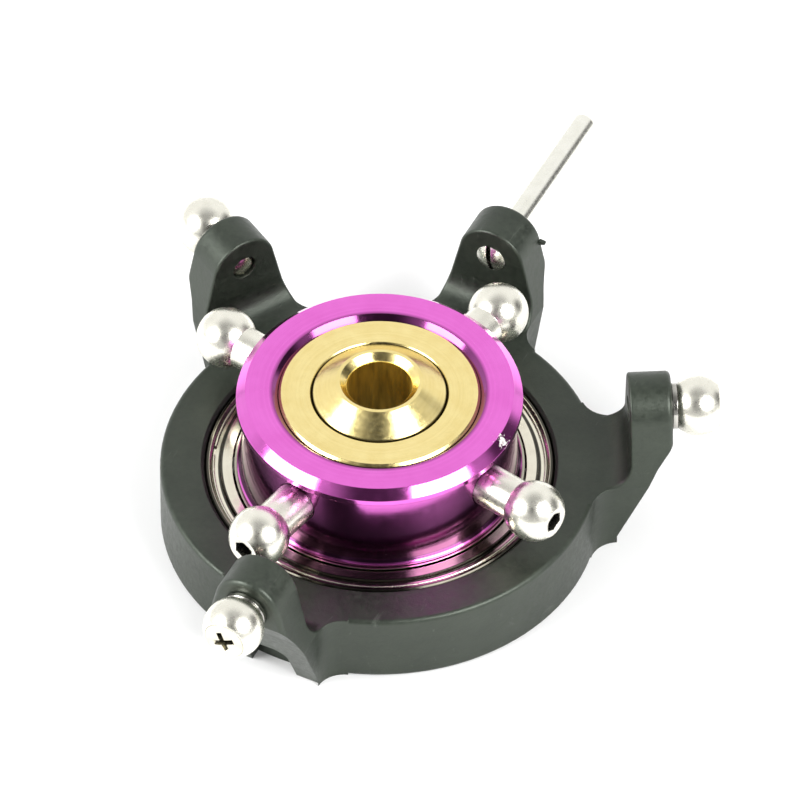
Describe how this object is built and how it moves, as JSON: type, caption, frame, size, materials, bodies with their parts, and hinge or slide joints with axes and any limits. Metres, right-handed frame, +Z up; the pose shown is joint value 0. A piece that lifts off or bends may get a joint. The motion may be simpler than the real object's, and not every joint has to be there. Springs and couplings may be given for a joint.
{
  "type": "helicopter swashplate",
  "caption": "Swashplate for a model helicopter: a ring turning in a moulded plate with link-ball ears, on a tilting brass ball for the main shaft.",
  "frame": {"origin": "centre of the tilting ball, on the axis of the main shaft", "axes": "+Z up along the main shaft, +Y along the anti-rotation pin"},
  "size_m": [0.0468, 0.062, 0.015],
  "materials": {
    "black_nylon": "moulded glass-filled nylon, slightly grainy",
    "purple_anodised": "turned and anodised, bright",
    "brass": "turned and polished",
    "bearing_steel": "ground",
    "sheet_steel": "pressed sheet",
    "spring_steel": "drawn wire and stamped strip",
    "plated_steel": "nickel-plated, polished",
    "screw_steel": "nickel-plated",
    "washer_steel": "turned",
    "pin_steel": "ground"
  },
  "bodies": {
    "stationary_plate": {"outer_plate": "black_nylon", "bearing_outer_race": "bearing_steel", "upper_shield": "sheet_steel", "lower_shield": "sheet_steel", "upper_shield_wire": "spring_steel", "lower_shield_wire": "spring_steel", "anti_rotation_pin": "pin_steel", "link_ball_1": "plated_steel", "link_ball_2": "plated_steel", "link_ball_3": "plated_steel", "link_ball_washer_1": "washer_steel", "link_ball_washer_2": "washer_steel", "link_ball_washer_3": "washer_steel", "link_ball_screw_1": "screw_steel", "link_ball_screw_2": "screw_steel", "link_ball_screw_3": "screw_steel"},
    "rotating_ring": {"inner_ring": "purple_anodised", "bearing_inner_race": "bearing_steel", "bearing_retaining_ring": "spring_steel", "upper_ball_race": "brass", "lower_ball_race": "brass", "rotor_ball_stud_1": "plated_steel", "rotor_ball_stud_2": "plated_steel", "rotor_ball_stud_3": "plated_steel", "rotor_ball_stud_4": "plated_steel"},
    "ball_cage": {"bearing_cage": "sheet_steel", "bearing_balls": "bearing_steel"},
    "shaft_ball": {"uniball": "brass"}
  },
  "joints": [
    {"name": "inner_ring_spin", "type": "hinge", "parent": "stationary_plate", "child": "rotating_ring", "pos_m": [0, 0, 0], "axis": [0, 0, 1], "continuous": true},
    {"name": "bearing_cage_spin", "type": "hinge", "parent": "stationary_plate", "child": "ball_cage", "pos_m": [0, 0, -0.00705], "axis": [0, 0, 1], "continuous": true},
    {"name": "shaft_ball_tilt", "type": "hinge", "parent": "rotating_ring", "child": "shaft_ball", "pos_m": [0, 0, 0], "axis": [1, 0, 0], "range_deg": [-15, 15]}
  ],
  "couplings": [
    {"joint": "bearing_cage_spin", "follows": "inner_ring_spin", "ratio": 0.46622}
  ]
}
